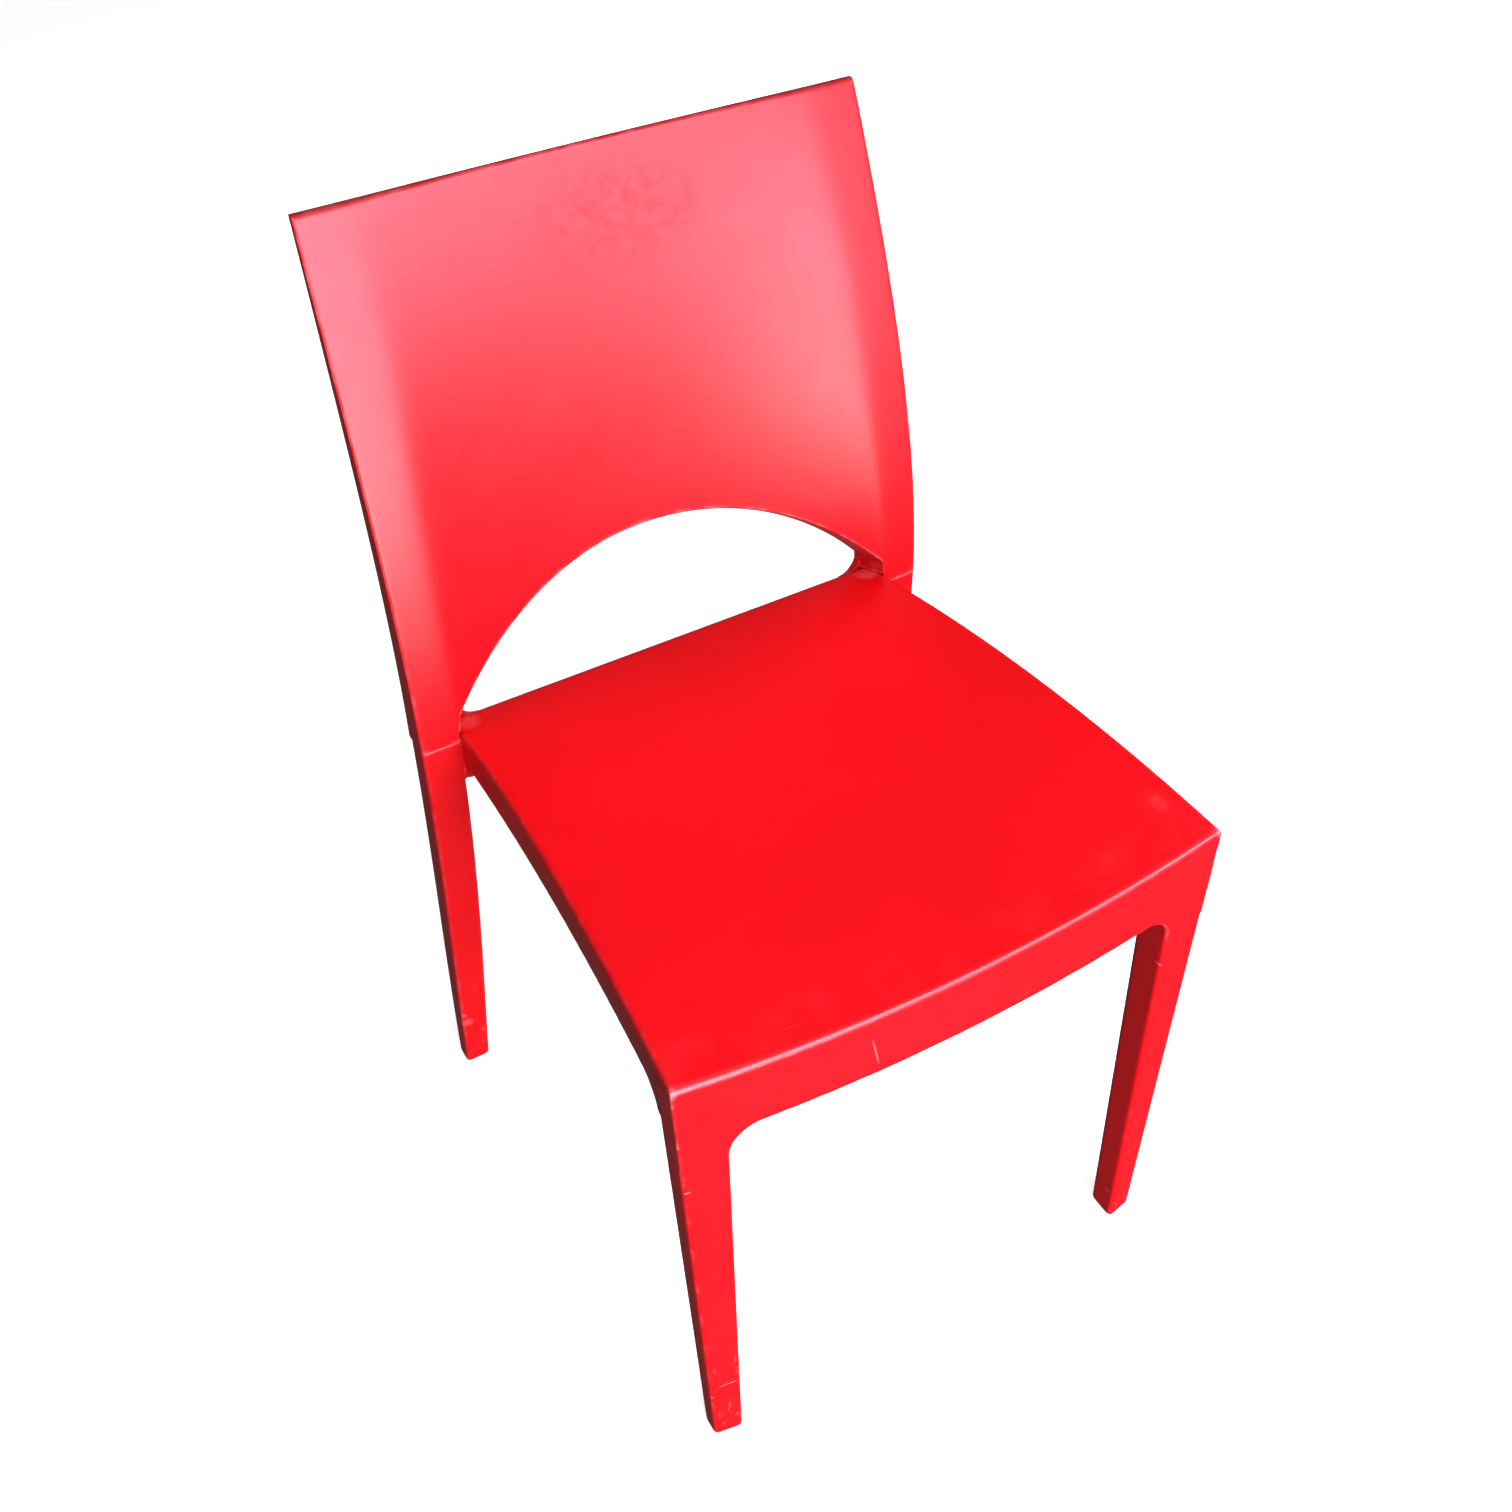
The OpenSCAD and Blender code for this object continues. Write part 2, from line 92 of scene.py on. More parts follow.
class ChairSizes(bpy.types.PropertyGroup):
    overall_h: length("Height", CAD_HIGH.z / MM, "Floor to the top of the back")
    overall_d: length("Depth", (CAD_HIGH.y - CAD_LOW.y) / MM, "Seat front to back top")
    rear_foot_w: length("Rear feet", 462, "Outside width across the rear feet")
    front_foot_w: length("Front feet", 416, "Outside width across the front feet")
    seat_h: length("Seat height", 460, "Height of the seat's front corners")
    seat_front_w: length("Seat width", 443, "Outside width of the seat at the front")
    seat_d: length("Seat depth", 407, "Seat's front edge to the face of the posts")
    front_bow: length("Front bow", 10, "How far the front edge bows forward")
    front_dip: length("Front dip", 10, "How much lower the front edge's middle is")
    side_rise: length("Side rise", 6, "How far the side edges rise half way back")
    side_waist: length("Side waist", 1.5, "How far the side edges draw in half way")
    seat_dish: length("Seat dish", 13, "Depth of the dish in the seat")
    rear_overlap: length("Seat behind posts", 25, "Seat's rear edge behind the posts' face")
    seat_t: length("Seat thickness", 4.5, "Thickness of the seat shell")
    wall_t: length("Wall thickness", 6, "Thickness of the apron and rails")
    seat_edge_r: length("Seat edge radius", 4.5, "Radius of the seat's upper edge")
    apron_h: length("Apron height", 61, "Height of the front apron")
    rail_h: length("Side rail height", 39, "Height of the side rails")
    rear_rail_h: length("Rear rail height", 34, "Height of the rear rail")
    front_leg_top_w: length("Front leg width", 39, "Width of a front leg at the seat")
    front_leg_foot_w: length("Front foot width", 23.5, "Width of a front leg's foot")
    front_leg_top_d: length("Front leg depth", 32, "Depth of a front leg at the seat")
    foot_d: length("Foot depth", 23, "Depth of a leg at the floor")
    rear_leg_foot_w: length("Rear foot width", 22.5, "Width of a rear leg's foot")
    rear_leg_mid_w: length("Rear leg width", 29.5, "Width of a rear leg half way")
    rear_leg_mid_d: length("Rear leg depth", 31.5, "Depth of a rear leg half way")
    rear_splay: length("Rear splay", 48, "How far the rear feet stand behind the posts")
    apron_fillet: length("Apron fillet", 25, "Radius from the apron to a front leg")
    rail_fillet: length("Rail fillet", 22, "Radius from a side rail to a front leg")
    rear_fillet: length("Rear fillet", 11, "Radius from a side rail to a rear leg")
    foot_r: length("Foot radius", 2.5, "Radius of a foot's lower edge")
    seam_drop: length("Seam drop", 26, "Seam below the seat's front corners")
    seam_w: length("Width at the seam", 454, "Outside width across the posts")
    back_mid_w: length("Back width", 445.5, "Outside width half way up the back")
    back_top_w: length("Back top width", 432, "Outside width of the back at the top")
    post_w: length("Post width", 32, "Front width of a post at the seam")
    band_top_w: length("Band width", 42, "Flat band beside the hollow at the top")
    post_d: length("Post depth", 30, "Depth of a post at the seam")
    top_edge_d: length("Side edge at the top", 8, "Depth of the back's side edge")
    panel_t: length("Panel thickness", 5, "Thickness in the middle of the back")
    hollow_top: length("Hollow at the top", 5, "Depth of the hollow at the top")
    hollow_seat: length("Hollow at the seat", 50, "Depth of the hollow at the seat")
    arch_rise: length("Arch rise", 108, "Height of the arch's crown above the seam")
    arch_foot: length("Arch foot", 21.5, "Height of the arch's ends above the seam")
    arch_draft: length("Arch draft", 9.5, "How much the arch narrows to the rear")
    soft_r: length("Edge radius", 3, "Radius of the front edges")
    spigot_d: length("Spigot diameter", 16, "Diameter of the spigot under a post")
    spigot_l: length("Spigot length", 58, "Length of the spigot")
    fit: length("Fit", 0.15, "Clearance round a piece in its hole")
    glide_d: length("Glide diameter", 15, "Diameter of a foot glide")
    glide_h: length("Glide thickness", 3, "Thickness of a foot glide's disc")
    glide_show: length("Glide height", 1, "How far a glide stands out of the foot")
    stem_d: length("Glide stem", 7, "Diameter of a glide's stem")
    stem_l: length("Glide stem length", 16, "Length of a glide's stem")
    screw_d: length("Screw diameter", 4, "Diameter of a lock screw's shank")
    screw_head_d: length("Screw head", 8, "Diameter of a lock screw's head")
    screw_head_h: length("Screw head height", 3, "Height of a lock screw's head")
    insert_d: length("Insert diameter", 6.5, "Diameter of a threaded insert")
    insert_l: length("Insert length", 9, "Length of a threaded insert")
    skin_step: length("Skin step", 1.3, "Cell size of the smooth skin")


class ChairFinish(bpy.types.PropertyGroup):
    plastic: colour("Plastic", (0.80, 0.002, 0.006), "Colour of the moulded plastic")
    # This colour is also painted as highlights on the seat's front edge and front corners, along
    # the seam and on convex edges
    bloom: colour("Bloom", (0.98, 0.36, 0.37), "Colour where the plastic is scuffed pale")
    grime: colour("Grime", (0.20, 0.012, 0.014), "Colour of dirt in the corners")
    # This colour is painted as shade on the back's top edge and along the seat's rear edge under
    # the back
    glide: colour("Glide", (0.05, 0.05, 0.055), "Colour of the foot glides")
    steel: colour("Screw", (0.62, 0.63, 0.65), "Colour of the lock screws")
    brass: colour("Insert", (0.70, 0.52, 0.22), "Colour of the threaded inserts")


# ---- Curves that the mouldings follow ----
def mix(a, b, t):
    return a + (b - a) * t


def through(a, m, b, t):
    """A curve through three values, at 0, at a half and at 1."""
    return a * (2 * t - 1) * (t - 1) + m * 4 * t * (1 - t) + b * t * (2 * t - 1)


def bend(a, slope_a, b, slope_b, span, t):
    """A curve from a to b over a span, with its two end slopes."""
    t2, t3 = t * t, t * t * t
    ends = a * (2 * t3 - 3 * t2 + 1) + b * (3 * t2 - 2 * t3)
    return ends + slope_a * span * (t3 - 2 * t2 + t) + slope_b * span * (t3 - t2)


def steps(count):
    return np.linspace(0.0, 1.0, count + 1)


class Shape:
    """The chair's curves and sections, in metres."""

    # Slopes of the posts' face at the floor, the seam and the top
    FOOT_SLOPE, SEAM_SLOPE, TOP_SLOPE = -0.10, -0.022, 0.39
    # Radii as shares: a leg's rear corners, the top edge, the crease beside the hollow
    REAR_ROUND, OUTER_ROUND, INNER_ROUND = 0.34, 0.42, 0.20
    TOP_ROUND, TOP_SHARE, CREASE_ROUND, REAR_POWER = 0.45, 0.23, 0.14, 2.4
    # The arch's rear edge below its front edge, the radius of its ends, and all lower edges
    ARCH_DROP, RIM_R, EDGE = 4 * MM, 8 * MM, 0.3 * MM
    # The seat's rear edge above the seam, and a hair between overlapping faces
    REAR_STEP, FLUSH = 4 * MM, 0.1 * MM
    # How deep a screw's head and an insert sit
    HEAD_ROOM, INSERT_SINK = 0.5 * MM, 1 * MM

    def __init__(self, sizes):
        for name in ChairSizes.__annotations__:
            setattr(self, name, getattr(sizes, name))
        self.front_y = -self.overall_d / 2 + self.front_bow + self.FLUSH
        self.seam_y = -self.overall_d / 2 + self.seat_d
        self.seam_h = self.seat_h - self.seam_drop
        self.rear_y = self.seam_y + self.rear_overlap
        self.rear_z = self.seam_h + self.REAR_STEP
        self.top_r = self.TOP_ROUND * self.panel_t
        rear_top = self.overall_d / 2 - self.hollow_top - self.panel_t
        self.top_y = rear_top + self.TOP_SHARE * self.top_r
        self.foot_y = self.seam_y + self.rear_splay
        self.inner_x = self.seam_w / 2 - self.post_w
        self.crown_z = self.seam_h + self.arch_rise
        self.arch_span = self.inner_x - MM
        rise = self.arch_rise - self.arch_foot
        self.arch_r = (self.arch_span**2 + rise**2) / 2 / rise
        self.lock_z = self.seam_h - self.spigot_l / 2
        self.spigot_x = self.inner_x + self.post_w / 2
        self.spigot_y = self.seam_y + self.post_d / 2
        self.side_lean = (self.seat_front_w - self.front_foot_w) / 2 / self.seat_h

    def above_seam(self, z):
        return (z - self.seam_h) / (self.overall_h - self.seam_h)

    def post_y(self, z):
        low = bend(self.foot_y, self.FOOT_SLOPE, self.seam_y, self.SEAM_SLOPE,
                   self.seam_h, z / self.seam_h)
        high = bend(self.seam_y, self.SEAM_SLOPE, self.top_y, self.TOP_SLOPE,
                    self.overall_h - self.seam_h, self.above_seam(z))
        return np.where(z < self.seam_h, low, high)

    def post_x(self, z):
        low = mix(self.rear_foot_w / 2, self.seam_w / 2, z / self.seam_h)
        high = through(self.seam_w / 2, self.back_mid_w / 2, self.back_top_w / 2,
                       self.above_seam(z))
        return np.where(z < self.seam_h, low, high)

    # Seat
    def side_x(self, y):
        t = np.minimum(1, (y - self.front_y) / (self.seam_y - self.front_y))
        waist = self.side_waist * 4 * np.maximum(0, t) * (1 - t)
        return mix(self.seat_front_w / 2, self.inner_x - self.fit, t) - waist

    def edge_y(self, u):
        return self.front_y - self.front_bow * (1 - u * u)

    def edge_z(self, v):
        return through(self.seat_h, self.seat_h + self.side_rise, self.rear_z, v)

    def side_v(self, y):
        return (y - self.front_y) / (self.rear_y - self.front_y)

    def seat_point(self, u, v, inset=0.0, drop=0.0):
        y = mix(self.edge_y(u) + inset, self.rear_y - inset, v)
        x = u * (self.side_x(y) - inset)
        w = self.side_v(y)
        dish = through(self.front_dip, self.seat_dish, 0.0, w)
        z = self.edge_z(w) - dish * (1 - u * u) - drop
        return np.stack(np.broadcast_arrays(x, y, z), axis=-1)

    # Rear legs
    def rear_leg_w(self, z):
        return through(self.rear_leg_foot_w, self.rear_leg_mid_w, self.post_w, z / self.seam_h)

    def rear_leg_d(self, z):
        return through(self.foot_d, self.rear_leg_mid_d, self.post_d, z / self.seam_h)

    # Back
    def crease_x(self, z):
        return self.post_x(z) - mix(self.post_w, self.band_top_w, self.above_seam(z))

    def face_y(self, x, z):
        t = self.above_seam(z)
        bowl = 1 - (x / self.crease_x(z)) ** 2
        soft = self.CREASE_ROUND**2 * np.maximum(0, t)
        hollow = mix(self.hollow_seat, self.hollow_top, t)
        return self.post_y(z) + hollow * (bowl + np.sqrt(bowl**2 + soft)) / 2

    def back_d(self, x, z):
        side = mix(self.post_d, self.top_edge_d, self.above_seam(z))
        return mix(self.panel_t, side, np.minimum(1, (x / self.crease_x(z)) ** 2))

    def arch_z(self, x):
        return self.crown_z - self.arch_r + np.sqrt(self.arch_r**2 - x**2)

    def front_foot(self):
        x = self.front_foot_w / 2 - self.front_leg_foot_w / 2
        return x, self.front_y + self.foot_d / 2

    def rear_foot(self):
        x = self.rear_foot_w / 2 - self.rear_leg_foot_w / 2
        return x, self.foot_y + self.foot_d / 2


# ---- Meshes ----
class Skin:
    """Points and faces of closed shells, gathered for one mesh."""

    def __init__(self):
        self.points, self.faces, self.count = [], [], 0

    def take(self, points, faces):
        self.points.append(np.asarray(points, float).reshape(-1, 3))
        self.faces.extend(tuple(int(i) + self.count for i in f) for f in faces)
        self.count += len(self.points[-1])

    def loft(self, rings):
        """Rings in a row, turning left as seen from the far end, with both ends capped."""
        rows, n = rings.shape[:2]
        faces = []
        for j in range(rows - 1):
            a, b = j * n, (j + 1) * n
            faces += [(a + i, a + (i + 1) % n, b + (i + 1) % n, b + i) for i in range(n)]
        last = (rows - 1) * n
        for i in range(n // 2 - 1):
            a, b, c, d = i, i + 1, n - 2 - i, n - 1 - i
            faces.append((a, d, c, b))
            faces.append((last + a, last + b, last + c, last + d))
        self.take(rings, faces)

    def hoop(self, rings):
        """Sections in a closed loop."""
        rows, n = rings.shape[:2]
        faces = []
        for j in range(rows):
            a, b = j * n, (j + 1) % rows * n
            faces += [(a + i, b + i, b + (i + 1) % n, a + (i + 1) % n) for i in range(n)]
        self.take(rings, faces)

    def block(self, low, high):
        x, y, z = zip(low, high)
        self.loft(np.array([[(x[0], y[0], h), (x[1], y[0], h), (x[1], y[1], h), (x[0], y[1], h)]
                            for h in z]))

    def peg(self, foot, axis, radius, height, sides=64):
        """A cylinder from foot along axis."""
        turn = Vector((0, 0, 1)).rotation_difference(Vector(axis)).to_matrix()
        angles = np.linspace(0, 2 * pi, sides, endpoint=False)
        circle = [(radius * cos(a), radius * sin(a)) for a in angles]
        self.loft(np.array([[Vector(foot) + turn @ Vector((x, y, h)) for x, y in circle]
                            for h in (0.0, height)]))

    def mirrored(self):
        """Adds the same shells again on the other side."""
        points = np.concatenate(self.points) * (-1, 1, 1)
        self.take(points, [f[::-1] for f in list(self.faces)])
        return self

    def object(self, name):
        mesh = bpy.data.meshes.new(name)
        mesh.from_pydata(np.concatenate(self.points).tolist(), [], self.faces)
        mesh.validate()
        thing = bpy.data.objects.new(name, mesh)
        bpy.context.scene.collection.objects.link(thing)
        return thing


def plain_mesh(thing, name):
    """The evaluated shape of an object as a mesh of its own, with the modifiers gone."""
    graph = bpy.context.evaluated_depsgraph_get()
    mesh = bpy.data.meshes.new_from_object(thing.evaluated_get(graph))
    mesh.name = name
    thing.modifiers.clear()
    thing.data = mesh
    return mesh


def discard(thing):
    mesh = thing.data
    bpy.data.objects.remove(thing)
    bpy.data.meshes.remove(mesh)


MOST_TRIANGLES = 170_000
SOFTEN_TIMES = 6
CREASE = radians(38)
# Curvatures of an edge, per metre, between which its pale rubbing and painted highlight go from
# none to full
LEAST_BEND, MOST_BEND = 60, 260


def combine(thing, shells, operation):
    """Joins shells to an object, or cuts them out of it."""
    tool = shells.object(thing.name + "_tool")
    cut = thing.modifiers.new("Combine", "BOOLEAN")
    cut.operation = operation
    cut.solver = "MANIFOLD"
    cut.object = tool
    plain_mesh(thing, thing.name)
    discard(tool)


def one_skin(shells, name, step):
    """Joins overlapping shells into one smooth closed skin with soft edges."""
    thing = shells.object(name)
    skin = thing.modifiers.new("Skin", "REMESH")
    skin.mode = "VOXEL"
    skin.voxel_size = step
    soften = thing.modifiers.new("Soften", "SMOOTH")
    soften.factor = 0.5
    soften.iterations = SOFTEN_TIMES
    mesh = plain_mesh(thing, name)
    mesh.calc_loop_triangles()
    ratio = MOST_TRIANGLES / len(mesh.loop_triangles)
    if ratio < 1:
        thin = thing.modifiers.new("Thin", "DECIMATE")
        thin.ratio = ratio
        plain_mesh(thing, name)
    return thing


def smooth_faces(thing):
    """Shades the faces smoothly up to the sharp edges, and marks where they are worn and where an
    edge highlight is painted.
    """
    thing.data.shade_smooth()
    thing.data.set_sharp_from_angle(angle=CREASE)
    mark_edges(thing.data)


def mark_edges(mesh):
    """Stores how sharply each point bends outwards, from 0 to 1, as a point attribute that drives
    both pale rubbing and a painted highlight on convex edges.
    """
    count = len(mesh.vertices)
    points, normals = np.empty(count * 3), np.empty(count * 3)
    mesh.vertices.foreach_get("co", points)
    mesh.vertices.foreach_get("normal", normals)
    points, normals = points.reshape(-1, 3), normals.reshape(-1, 3)
    pairs = np.empty(len(mesh.edges) * 2, int)
    mesh.edges.foreach_get("vertices", pairs)
    a, b = pairs.reshape(-1, 2).T
    gap = points[b] - points[a]
    bent = ((normals[b] - normals[a]) * gap).sum(1) / np.maximum((gap**2).sum(1), 1e-10)
    degree = np.bincount(pairs, minlength=count)
    edge_rub_and_highlight = np.bincount(a, bent, count) + np.bincount(b, bent, count)
    edge_rub_and_highlight = edge_rub_and_highlight / np.maximum(degree, 1)
    for _ in range(2):
        near = np.bincount(a, edge_rub_and_highlight[b], count) + np.bincount(b, edge_rub_and_highlight[a], count)
        edge_rub_and_highlight = (edge_rub_and_highlight + near) / (degree + 1)
    edge_rub_and_highlight = np.clip((edge_rub_and_highlight - LEAST_BEND) / (MOST_BEND - LEAST_BEND), 0, 1)
    mesh.attributes.new("edge_wear", "FLOAT", "POINT").data.foreach_set("value", edge_rub_and_highlight)


# ---- Seat frame: the seat, its apron and rails, and the four legs ----
ARC = 6


def quarter(count=ARC):
    return steps(count) * pi / 2


def rounding(r, count=ARC):
    """Steps of a quarter circle, by how far each is from the one face and from the other."""
    return [(r * (1 - sin(a)), r * (1 - cos(a))) for a in quarter(count)]


def seat_shell(chair, skin):
    across = np.linspace(-1, 1, 97)
    rings = []
    for v in steps(96)[::-1]:
        under = chair.seat_point(across, v, chair.seat_edge_r, chair.seat_t)
        over = chair.seat_point(across[::-1], v, chair.seat_edge_r, 0.0)
        rings.append(np.concatenate([under, over]))
    skin.loft(np.array(rings))


def wall_stations(chair):
    """Stations round the seat's edge: (u, v, outward x, outward y, wall height)."""
    half, lap, corner = chair.seat_front_w / 2, 0.5 * MM, 0.7
    near_front, near_rear, near_side = 0.012, 0.985, 0.985
    leg_y = chair.front_y + chair.front_leg_top_d - lap
    leg_x = half - chair.front_leg_top_w + lap
    rail, apron, rear = chair.rail_h, chair.apron_h, chair.rear_rail_h
    v0 = chair.side_v(leg_y + chair.rail_fillet)
    v1 = chair.side_v(chair.seam_y - chair.rear_fillet)
    side = [(1, near_front, 1, 0, rail + chair.rail_fillet)]
    side += [(1, chair.side_v(leg_y + d), 1, 0, rail + h)
             for d, h in rounding(chair.rail_fillet, 14)[::-1]]
    side += [(1, mix(v0, v1, t), 1, 0, rail) for t in steps(40)[1:-1]]
    side += [(1, chair.side_v(chair.seam_y - d), 1, 0, rail + h)
             for d, h in rounding(chair.rear_fillet, 14)]
    side += [(1, near_rear, 1, 0, rear)]
    tall = apron + chair.apron_fillet
    front = [(near_side, 0, 0, -1, tall)]
    front += [((leg_x - d) / half, 0, 0, -1, apron + h)
              for d, h in rounding(chair.apron_fillet, 14)[::-1]]
    span = (leg_x - chair.apron_fillet) / half
    front += [(mix(span, 0, t), 0, 0, -1, apron) for t in steps(24)[1:-1]]
    right = side[::-1] + [(1, 0, corner, -corner, tall)] + front
    left = [(-u, v, -nx, ny, h) for u, v, nx, ny, h in right[::-1]]
    back = [(-1, 1, -corner, corner, rear)]
    back += [(u, 1, 0, 1, rear) for u in np.linspace(-0.9, 0.9, 37)]
    back += [(1, 1, corner, corner, rear)]
    return right + [(0, 0, 0, -1, apron)] + left + back


def seat_walls(chair, skin):
    r, soft, wall = chair.seat_edge_r, chair.soft_r, chair.wall_t
    sections = []
    for u, v, nx, ny, h in wall_stations(chair):
        p = chair.seat_point(np.float64(u), np.float64(v))
        outline = [(-a, -b) for a, b in rounding(r)]
        outline += [(-b, a - h) for a, b in rounding(soft, 4)]
        outline += [(-wall, -h), (-wall, -chair.seat_t / 2), (-r, -chair.seat_t / 2)]
        lean = chair.side_lean * np.sign(u) * (abs(u) == 1)
        sections.append([p + np.array((q * nx + d * lean, q * ny, d)) for q, d in outline])
    skin.hoop(np.array(sections))


def leg_ring(x0, x1, y0, y1, d, z, front, outer, inner):
    """A leg's section, flat in front and round behind, from its inner front corner."""
    corners = ((x0 + front, y0 + front, front, 180), (x1 - front, y1 + front, front, 270),
               (x1 - outer, y1 + d - outer, outer, 0), (x0 + inner, y1 + d - inner, inner, 90))
    return [(x + r * cos(radians(a) + t), y + r * sin(radians(a) + t), z)
            for x, y, r, a in corners for t in quarter(8)]


def leg_levels(chair, top):
    """Heights of the rings up a leg, with the inset that rounds the foot."""
    r, foot = chair.foot_r, chair.glide_show
    levels = [(foot + b, a) for a, b in rounding(r)]
    return levels + [(mix(foot + r, top, t), 0.0) for t in steps(60)[1:]]


def front_leg(chair, skin):
    rings = []
    for z, e in leg_levels(chair, chair.seat_h - chair.seat_t - chair.seat_edge_r):
        t = z / chair.seat_h
        x1 = mix(chair.front_foot_w, chair.seat_front_w, t) / 2
        x0 = x1 - mix(chair.front_leg_foot_w, chair.front_leg_top_w, t)
        d = mix(chair.foot_d, chair.front_leg_top_d, t)
        y0 = chair.edge_y(x0 / (chair.seat_front_w / 2)) + chair.FLUSH * t
        rings.append(leg_ring(x0 + e, x1 - e - chair.FLUSH * t, y0 + e, chair.front_y + e,
                              d - 2 * e, z, chair.soft_r,
                              d * chair.OUTER_ROUND, d * chair.INNER_ROUND))
    skin.loft(np.array(rings))


def rear_leg(chair, skin):
    rings = []
    for z, e in leg_levels(chair, chair.seam_h):
        x1, y, d = float(chair.post_x(z)), float(chair.post_y(z)), chair.rear_leg_d(z)
        rings.append(leg_ring(x1 - chair.rear_leg_w(z) + e, x1 - e, y + e, y + e, d - 2 * e, z,
                              chair.soft_r, d * chair.REAR_ROUND, d * chair.REAR_ROUND))
    skin.loft(np.array(rings))
    # Two bridges into the leg, from the side rail's wall and from the rear rail
    low, lap = chair.seam_h - chair.rear_rail_h, chair.inner_x + 8 * MM
    skin.block((chair.inner_x - chair.wall_t + MM, chair.seam_y + 1.5 * MM, low - 7 * MM),
               (lap, chair.seam_y + 8 * MM, low + 2 * MM))
    skin.block((chair.inner_x - 2 * chair.wall_t, chair.seam_y + chair.soft_r, low + MM),
               (lap, chair.seam_y + chair.rear_overlap - MM, chair.seam_h))


def along_rear(chair, z):
    """The point behind a rear leg where a lock screw goes in."""
    return chair.spigot_x, float(chair.post_y(z)) + chair.rear_leg_d(z), z


def frame_holes(chair):
    """The glides' seats and the sockets, then the holes for stems and heads, then for shanks."""
    cuts, bores, shanks = Skin(), Skin(), Skin()
    over = MM
    for x, y in (chair.front_foot(), chair.rear_foot()):
        cuts.peg((x, y, -over), (0, 0, 1), chair.glide_d / 2 + chair.fit,
                 over + chair.glide_h + chair.fit)
        bores.peg((x, y, 0), (0, 0, 1), chair.stem_d / 2 + chair.fit,
                  chair.glide_h + chair.stem_l + over)
    low = chair.seam_h - chair.spigot_l - over
    cuts.peg((chair.spigot_x, chair.spigot_y, low), (0, 0, 1), chair.spigot_d / 2 + chair.fit,
             chair.spigot_l + 2 * over)
    x, y, z = along_rear(chair, chair.lock_z)
    bores.peg((x, y + over, z), (0, -1, 0), chair.screw_head_d / 2 + chair.fit,
              over + chair.screw_head_h + chair.HEAD_ROOM)
    shanks.peg((x, y, z), (0, -1, 0), chair.screw_d / 2 + chair.fit, chair.post_d / 2)
    return cuts.mirrored(), bores.mirrored(), shanks.mirrored()


# ---- Back ----
def sills(chair):
    """Heights of the back's lower edge over the seat, in front and behind."""
    return chair.edge_z(chair.side_v(chair.seam_y)) + chair.fit, chair.rear_z + chair.fit


def back_columns(chair):
    """From the middle out: (x at the seam, lowest z, inset) of the face, then of the rear."""
    half, rear_r = chair.seam_w / 2, chair.post_d * chair.REAR_ROUND
    draft, rim_x = 1 - chair.arch_draft / chair.inner_x, chair.inner_x - chair.arch_draft
    sill, rear_sill = sills(chair)
    columns = []
    for a in quarter(60):
        x = chair.arch_span * sin(a)
        z = float(chair.arch_z(x))
        columns.append(((x, z, 0), (x * draft, z - chair.ARCH_DROP, 0)))
    end_z = float(chair.arch_z(chair.arch_span))
    for t in steps(8)[1:]:
        columns.append(((mix(chair.arch_span, chair.inner_x, t / 2), mix(end_z, sill, t), 0),
                        (mix(chair.arch_span * draft, rim_x, t),
                         mix(end_z - chair.ARCH_DROP, rear_sill, t), 0)))
    columns.append(((chair.inner_x, sill, 0), (chair.inner_x, rear_sill, 0)))
    for x in np.linspace(chair.inner_x + chair.EDGE, half - chair.soft_r, 12):
        columns.append(((x, chair.seam_h, 0), (x, chair.seam_h, 0)))
    for t, (a, b) in zip(steps(10), rounding(chair.soft_r, 10)):
        rear = rear_r * (1 - sqrt(1 - t**chair.REAR_POWER))
        columns.append(((half - a, chair.seam_h, b), (half - a, chair.seam_h, rear)))
    return np.array(columns)


def back_shell(chair, skin):
    columns = back_columns(chair)
    levels = [(b / chair.overall_h, a) for a, b in rounding(chair.EDGE, 3)]
    levels += [(rise / chair.overall_h, 0.0) for rise in (3 * MM, 5 * MM)]
    levels += [(t, 0.0) for t in steps(70)[1:-1]]
    levels += [(1 - a / (chair.overall_h - chair.crown_z), b) for a, b in rounding(chair.top_r)]
    rings = []
    for v, e in levels:
        sides = []
        for rear in (0, 1):
            x0, low, inset = columns[:, rear].T
            z = mix(low, chair.overall_h, v)
            x = x0 / (chair.seam_w / 2) * chair.post_x(z)
            d = chair.back_d(x, z)
            inset = np.maximum(inset * d / chair.post_d, e)
            y = chair.face_y(x, z) + (d - inset if rear else inset)
            sides.append(np.stack([x, y, z], axis=-1))
        face, back = sides
        flip = np.array((-1, 1, 1))
        rings.append(np.concatenate([face[:0:-1] * flip, face, back[::-1], back[1:] * flip]))
    skin.loft(np.array(rings))


